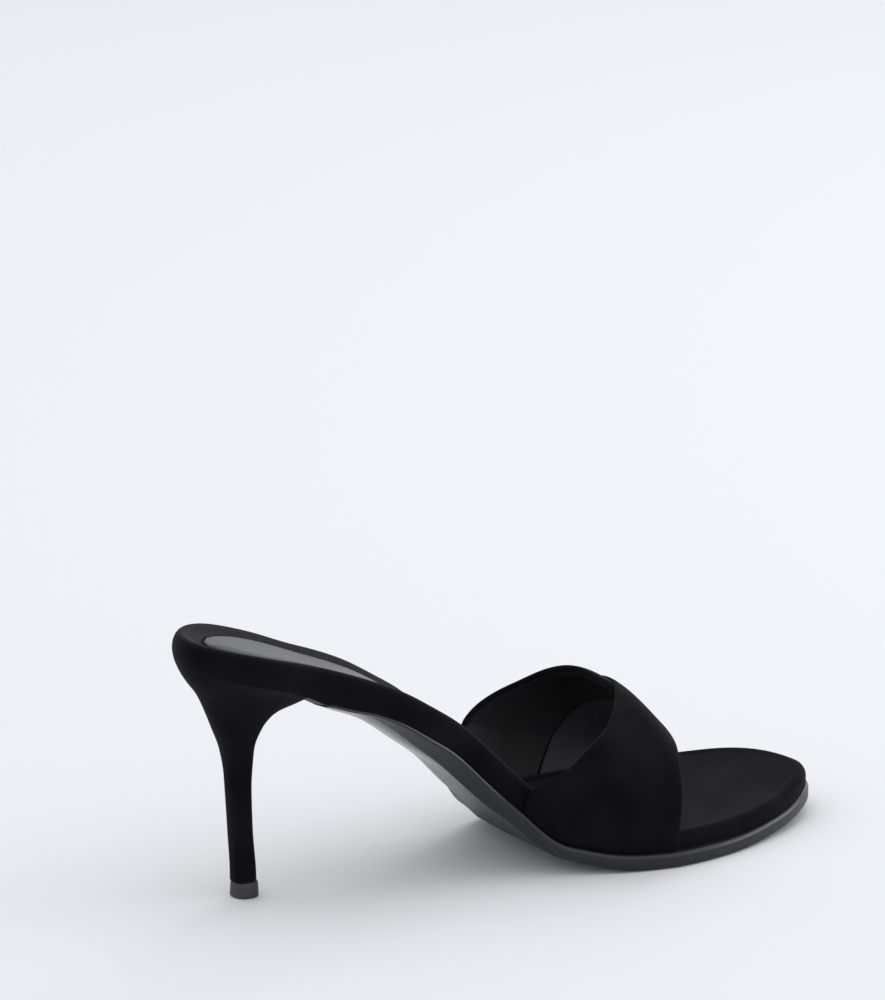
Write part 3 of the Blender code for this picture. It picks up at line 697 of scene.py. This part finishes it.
outsole_plan = (OUTSOLE_START, OUTSOLE_CAP, TOE_TIP, 0, OUTSOLE_STATIONS)
out_ring, out_spine = outline(*outsole_plan, welt)
cut_ring, _ = outline(*outsole_plan, undercut)
top = feather(out_ring[:, 0]) - JOINT
edge = np.maximum(
    top - TOP_FALL - sole["edge"](out_ring[:, 0]), underside(out_ring[:, 0]) + EDGE_LEAST
)
bevel_ring = inwards(cut_ring, sole["bevel"](cut_ring[:, 0]))
bottom = underside(bevel_ring[:, 0]) + sole["belly"](bevel_ring[:, 0])
# Painted shade: the edge is darkest under the ball, and the bottom is darker under the forefoot.
on_forefoot = ramp(out_ring[:, 0], *EDGE_SHADE_FROM) * ramp(out_ring[:, 0], *EDGE_SHADE_TO[::-1])
painted_shade_edge = DULL + (1 - DULL) * on_forefoot
painted_shade_bottom = DULL * ramp(out_ring[:, 0], *BOTTOM_SHADOW)
high, low = top - CHAMFER_FALL, edge + ARRIS_START

outsole_rings, marks = [lift_ring(out_spine, feather(out_spine[:, 0]) - JOINT)], [painted_shade_bottom]
edge_lines = [(step, top - fall, SHINE) for step, fall in CHAMFER]
edge_lines += [(-OUTSOLE_PROUD, level, painted_shade_edge) for level in (high, (high + low) / 2, low)]
edge_lines += [(step, edge - fall, mark) for (step, fall), mark in zip(ARRIS, (painted_shade_edge, DULL))]
for step, level, mark in edge_lines:
    line = inwards(out_ring, step)
    outsole_rings.append(np.column_stack([line, level + arch(line)]))
    marks.append(mark * np.ones(len(line)))
for share in BEVEL_SHARES:
    line = out_ring + (bevel_ring - out_ring) * share
    outsole_rings.append(lift_ring(line, (edge - BEVEL_TOP) + (bottom - edge + BEVEL_TOP) * share))
    marks.append(DULL * np.ones(len(line)) if share < 1 else painted_shade_bottom)
for share in BOTTOM_SHARES:
    line = out_spine + (bevel_ring - out_spine) * share
    hang = sole["belly"](line[:, 0]) * np.clip(2 * share - 1, 0, 1) ** BELLY_CURVE
    outsole_rings.append(lift_ring(line, underside(line[:, 0]) + hang))
    marks.append(painted_shade_bottom)
outsole = sweep("outsole_leather", outsole_rings, marks=marks)
outsole.data.set_sharp_from_angle(angle=CREASE)
outsole.data.materials.append(polish)
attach(outsole, "root")
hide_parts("outsole")

# ---------------------------------------------------------------------------
# Heel: slim and curved, under the same velvet, swept from the seat's outline
# down to the tip in smooth falls.
TOPLIFT_HEIGHT, HEEL_TIP, HEEL_TIP_HALF = 4.8, (22.7, 0.0), 3.65
SEAM, COVER = 0.6, 0.12  # the cover runs this far up, and out, flush with the footbed's
HEEL_SIDES, HEEL_BLEND = 96, 1.2
HEEL_SOFTENING = 0.010   # share of the fall over which the rows are blended
UPPER_FALL, FALL_STEPS = 0.2, (34, 46)   # most lines lie in the heel's upper part
HEEL_CREASE = math.radians(60)
HEEL_SPINE = (18.0, 32.5)    # the heel's top closes on a line between these
HEEL_SQUARE, ROUNDED_SQUARE = 2 / 3.4, 2 / 2.6   # powers of its breast's and tip's sections
# Each row says what share of the seat's outreach is left at the heel's back,
# sides and breast after a share of its fall, and how far it leans.
HEEL_COLUMNS = ("fall", "back", "side", "breast", "lean")
HEEL = [
    (0.0, 1.00, 1.00, 1.00, -2.4),
    (0.03, 0.96, 0.83, 0.90, -2.4),
    (0.06, 0.89, 0.69, 0.715, -2.4),
    (0.095, 0.78, 0.58, 0.445, -2.4),
    (0.145, 0.60, 0.47, 0.17, -2.4),
    (0.21, 0.455, 0.33, 0.0, -2.4),
    (0.30, 0.29, 0.17, -0.02, -2.4),
    (0.40, 0.115, 0.10, -0.01, -2.3),
    (0.52, 0.03, 0.03, -0.01, -2.1),
    (0.75, 0.01, 0.0, -0.02, -1.3),
    (1.0, 0.0, 0.0, 0.0, -0.4),
]
heel_curve = {name: curve(HEEL, HEEL_COLUMNS, name, HEEL_SOFTENING) for name in HEEL_COLUMNS[1:]}


def signed_power(value, power):
    """A power that keeps the sign, for rounded-square sections."""
    return np.sign(value) * np.abs(value) ** power


turn = 2 * np.pi * np.arange(HEEL_SIDES) / HEEL_SIDES
c, s = np.cos(turn), np.sin(turn)
seat_middle = SEAT_BACK + SEAT_RADIUS
seat_reach = SEAT_RADIUS - sole["taper"](SEAT_BACK) + COVER
reach_x = np.where(c > 0, OUTSOLE_START - OUTSOLE_PROUD - GAP - seat_middle, seat_reach)
square = np.where(c > 0, HEEL_SQUARE, 1.0)
top_x = seat_middle + reach_x * signed_power(c, square)
top_y = seat_reach * signed_power(s, square)
fore, aft = np.clip(c, 0, None) ** HEEL_BLEND, np.clip(-c, 0, None) ** HEEL_BLEND
spine_x = np.clip(top_x, *HEEL_SPINE)
heel_rings = [np.column_stack([spine_x, top_y * 0, feather(spine_x) + SEAM])]
falls = np.concatenate(
    [np.linspace(0, UPPER_FALL, FALL_STEPS[0]), np.linspace(UPPER_FALL, 1, FALL_STEPS[1])[1:]]
)
for fall in falls:
    part = {name: heel_curve[name](fall) for name in heel_curve}
    keep = part["breast"] * fore + part["back"] * aft + part["side"] * (1 - fore - aft)
    end_x = HEEL_TIP[0] + part["lean"] + HEEL_TIP_HALF * signed_power(c, ROUNDED_SQUARE)
    end_y = HEEL_TIP[1] + HEEL_TIP_HALF * signed_power(s, ROUNDED_SQUARE)
    high = feather(top_x) + SEAM
    z = high + (TOPLIFT_HEIGHT + GAP - high) * fall
    x, y = end_x + (top_x - end_x) * keep, end_y + (top_y - end_y) * keep
    heel_rings.append(np.column_stack([x, y, z]))
heel_end = (HEEL_TIP[0], 0.0, TOPLIFT_HEIGHT + GAP)
heel_rings.append(np.ones((HEEL_SIDES, 1)) * np.array(heel_end))
heel = sweep("heel_velvet", heel_rings)
heel.data.set_sharp_from_angle(angle=HEEL_CREASE)
heel.data.materials.append(velvet)
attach(heel, "root")
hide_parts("heel")

# ---------------------------------------------------------------------------
# Toplift: a dark grey rubber piece with softened edges, pinned to the heel tip,
# on which the heel stands.
TOPLIFT_SECTION = (      # half width and height, from the floor up
    (0.0, 0.0), (3.4, 0.0), (3.75, 0.06), (3.95, 0.3), (4.0, 0.6), (3.9, 2.6),
    (3.8, 4.35), (3.65, 4.7), (3.3, 4.8), (0.0, 4.8),
)
rubber, _ = dress(
    "toplift_rubber", dark=(0.027, 0.027, 0.027), light=(0.040, 0.039, 0.040),
    matt=0.66, gloss=0.58, patch_scale=300.0,
    grain_scale=1500.0, grain_strength=0.2, grain_depth=0.0001,
)

toplift_rings = []
for half, z in TOPLIFT_SECTION:
    x = HEEL_TIP[0] + half * signed_power(c, ROUNDED_SQUARE)
    y = HEEL_TIP[1] + half * signed_power(s, ROUNDED_SQUARE)
    toplift_rings.append(np.column_stack([x, y, turn * 0 + z]))
toplift = sweep("toplift_rubber", toplift_rings)
toplift.data.materials.append(rubber)
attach(toplift, "root")
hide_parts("toplift")

# ---------------------------------------------------------------------------
# Outer band: from the outer waist over the crossing to the inner forefoot.
# Velvet is folded round both edges and ends inside, where the lining starts.
STRAP_WALL = 2.4         # velvet, filler and lining
CROSS_LIFT, FOOT_LIFT = 1.0, 0.15    # the outer band lies this high over the inner one
CROSS_RAMP = (0.14, 0.17)    # share of the way around in which each end rises to it
FOOT_SPACE = 0.45        # between the footbed's side and the bands
SWELL_RISE = 2.5         # how soon above the footbed the last swells out
FOOT_WALL, FOOT_FADE = 0.2, (0.02, 0.15)    # the wall thins to this share at the feet
TUCK, TUCK_HEIGHT = 0.3, 1.2    # the bands' feet pull in under the footbed
FOLD = 1.35              # how far the velvet is turned in behind the edge
LINING_DEPTH = 0.45      # the lining lies this deep in the wall
AROUND_STEPS, FACE_STEPS, EDGE_STEPS = 190, 26, 9
EVEN_SHARE = 0.55        # the rest of the steps crowd towards the two feet
OUTER_FACE = 0.6         # the face, which ripples, lies above this share of the wall
RIPPLE_SCALE, OUTER_RIPPLE = 0.055, 0.5
LAST_SOFTENING, BAND_SOFTENING = 2.5, 0.022
# The last that the bands are pulled over: where its ridge lies, its height over
# the footbed's lower edge, how square it is and how far each side swells out.
LAST_COLUMNS = ("x", "ridge", "height", "squareness", "lateral_swell", "medial_swell")
LAST = [
    (100.0, 12.0, 34.3, 3.0, 2.8, 3.8),
    (113.0, 12.0, 39.1, 3.0, 3.3, 4.8),
    (121.0, 12.0, 42.6, 2.9, 2.7, 4.3),
    (130.0, 12.0, 44.2, 2.5, 1.8, 2.2),
    (137.0, 12.0, 43.8, 2.25, 1.5, 1.5),
    (148.0, 11.5, 42.6, 2.1, 1.2, 1.2),
    (154.0, 10.5, 39.3, 2.1, 1.2, 1.1),
    (160.0, 9.0, 31.6, 2.15, 1.2, 1.0),
    (172.0, 7.0, 20.4, 2.25, 1.1, 1.0),
    (185.0, 5.0, 15.3, 2.3, 1.0, 1.0),
]
# Where each band begins and ends along the shoe, from the outer foot (0) over
# the top to the inner foot (1).
BAND_COLUMNS = ("around", "outer_back", "outer_front", "inner_back", "inner_front")
BANDS = [
    (0.00, 104.0, 150.2, 141.0, 145.0),
    (0.04, 105.8, 150.5, 142.5, 146.5),
    (0.115, 112.5, 151.8, 144.5, 149.0),
    (0.175, 119.8, 153.5, 146.0, 151.0),
    (0.24, 128.6, 156.4, 148.0, 152.5),
    (0.295, 136.5, 159.2, 149.5, 154.0),
    (0.39, 147.0, 161.6, 150.0, 156.5),
    (0.43, 150.5, 162.6, 148.6, 158.5),
    (0.50, 153.5, 164.4, 146.5, 160.3),
    (0.60, 156.0, 167.5, 142.3, 160.2),
    (0.69, 155.0, 171.0, 136.3, 158.6),
    (0.75, 153.0, 173.5, 129.8, 157.8),
    (0.84, 148.0, 175.5, 121.0, 155.6),
    (0.89, 145.0, 176.0, 116.0, 153.8),
    (0.96, 142.0, 176.5, 107.5, 150.6),
    (1.00, 141.0, 176.5, 104.0, 148.8),
]

last = {name: curve(LAST, LAST_COLUMNS, name, LAST_SOFTENING) for name in LAST_COLUMNS[1:]}
band = {name: curve(BANDS, BAND_COLUMNS, name, BAND_SOFTENING) for name in BAND_COLUMNS[1:]}


def on_last(x, around, lift):
    """Points of the upper's inner surface, moved outwards by lift."""
    c, s = np.cos(np.pi * around), np.sin(np.pi * around)
    outer = c > 0
    sign = np.where(outer, -1.0, 1.0)
    tall = last["height"](x) + lift
    swell = np.where(outer, last["lateral_swell"](x), last["medial_swell"](x))
    swell = swell * np.minimum(1.0, s * SWELL_RISE)
    width = np.where(outer, half_width("lateral", x), half_width("medial", x))
    reach = width + FOOT_SPACE + swell + lift - sign * last["ridge"](x)
    power = 2 / last["squareness"](x)
    rise = tall * np.abs(s) ** power
    under = np.clip(1 - rise / TUCK_HEIGHT, 0, 1)
    reach = reach - TUCK * (1 - np.sqrt(1 - under**2)) * (lift > 0)
    y = last["ridge"](x) + sign * reach * np.abs(c) ** power
    low = feather(x) + arch(np.stack([x, y], axis=-1)) * (1 - s * s)
    return np.stack([x, y, low + rise], axis=-1)


def over_inner(around):
    """How far the outer band is lifted over the inner one."""
    rise = np.clip(np.minimum(around / CROSS_RAMP[0], (1 - around) / CROSS_RAMP[1]), 0, 1)
    return FOOT_LIFT + (CROSS_LIFT - FOOT_LIFT) * eased(rise)


def velvet_section(width):
    """The velvet's closed section: over the face, round the edges and into the fold.

    Each point has its place across the band, its height and its mark: a painted
    highlight, a light line along the turned edge's inner corner.
    """
    half = STRAP_WALL / 2
    arc = np.linspace(0, np.pi, EDGE_STEPS)
    face = np.linspace(half, width - half, FACE_STEPS)[1:-1]
    back = np.linspace(width - FOLD, FOLD, FACE_STEPS)
    left = [(half - half * np.sin(a), half - half * np.cos(a), 0) for a in arc]
    right_edge = [(width - half + half * np.sin(a), half + half * np.cos(a), 0) for a in arc]
    # painted highlight: the light line along each edge's inner corner
    left[1] = (*left[1][:2], 1)
    right_edge[-2] = (*right_edge[-2][:2], 1)
    section = left + [(x, STRAP_WALL, 0) for x in face] + right_edge
    return section + [(width - FOLD, 0, 0)] + [(x, LINING_DEPTH, 0) for x in back] + [(FOLD, 0, 0)]


def make_band(name, back, front, lift, section, ripple):
    """One band's layer: its section carried from the outer foot to the inner one."""
    t = np.linspace(0, 1, AROUND_STEPS)
    rows, painted_light = [], []
    for around in EVEN_SHARE * t + (1 - EVEN_SHARE) * (1 - np.cos(np.pi * t)) / 2:
        start, end = band[back](around), band[front](around)
        shape = np.array(section(end - start), float)
        x = start + shape[:, 0]
        full = ramp(min(around, 1 - around), *FOOT_FADE)
        wall = FOOT_WALL + (1 - FOOT_WALL) * eased(full)
        points = on_last(x, np.full(len(x), around), lift(around) + shape[:, 1] * wall)
        for point, high in zip(points, shape[:, 1]):
            if ripple and high > STRAP_WALL * OUTER_FACE:
                point[2] += ripple * full * noise.noise(Vector(point) * RIPPLE_SCALE)
        rows.append(points)
        painted_light.append(shape[:, 2] * full)
    return sweep(name, rows, close_ends=True, marks=painted_light)


outer_band = make_band(
    "outer_band_velvet", "outer_back", "outer_front", over_inner, velvet_section, OUTER_RIPPLE
)
outer_band.data.materials.append(velvet)
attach(outer_band, "root")
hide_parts("upper")

# ---------------------------------------------------------------------------
# Inner band: crosses under the outer one, from the inner waist to the outer
# forefoot, with the same folded edges.
INNER_RIPPLE = 0.4


def on_the_last(around):
    """The inner band isn't lifted anywhere."""
    return 0.0


inner_band = make_band(
    "inner_band_velvet", "inner_back", "inner_front", on_the_last, velvet_section, INNER_RIPPLE
)
inner_band.data.materials.append(velvet)
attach(inner_band, "root")
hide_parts("upper")

# ---------------------------------------------------------------------------
# Linings: thin smooth black lining leather, cemented inside each band as far as
# the velvet's fold, with a painted highlight along its cut edge. The outer band's
# lining is painted lighter, for light that comes in through the toe's opening.
LINING_INSET = FOLD - 0.15   # it reaches this little over the fold
CUT_EDGE = ((0.0, 0.4, 0), (0.0, 0.12, 1), (0.12, 0.03, 0.5))    # inset, height, mark
LINING_FACE, LINING_BACK = 0.4, LINING_DEPTH + 0.05
# The outer band's lining is painted lighter than the inner one's: painted light, for light that
# comes in through the toe's opening.
LINING_SHADES = {
    "inner_band_lining": {"dark": (0.0125, 0.012, 0.014), "light": (0.020, 0.019, 0.022)},
    "outer_band_lining": {"dark": (0.045, 0.042, 0.050), "light": (0.062, 0.058, 0.068)},
}


def lining_section(width):
    """The lining's closed section, in the same terms, with its cut edges marked for a painted
    highlight.
    """
    first, final = LINING_INSET, width - LINING_INSET
    face = np.linspace(first + LINING_FACE, final - LINING_FACE, FACE_STEPS)
    return (
        [(first + x, height, mark) for x, height, mark in CUT_EDGE] + [(x, 0, 0) for x in face]
        + [(final - x, height, mark) for x, height, mark in CUT_EDGE[::-1]]
        + [(x, LINING_BACK, 0) for x in face[::-1]]
    )


for layer, back, front, lift in (
    ("outer_band_lining", "outer_back", "outer_front", over_inner),
    ("inner_band_lining", "inner_back", "inner_front", on_the_last),
):
    piece = make_band(layer, back, front, lift, lining_section, 0.0)
    lining, _ = dress(
        layer, **LINING_SHADES[layer], matt=0.62, gloss=0.55, painted_light=(0.07, 0.068, 0.073),
        patch_scale=60.0, grain_scale=1600.0, grain_cells=1.0, grain_strength=0.15,
        grain_depth=0.0002,
    )
    piece.data.materials.append(lining)
    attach(piece, "root")
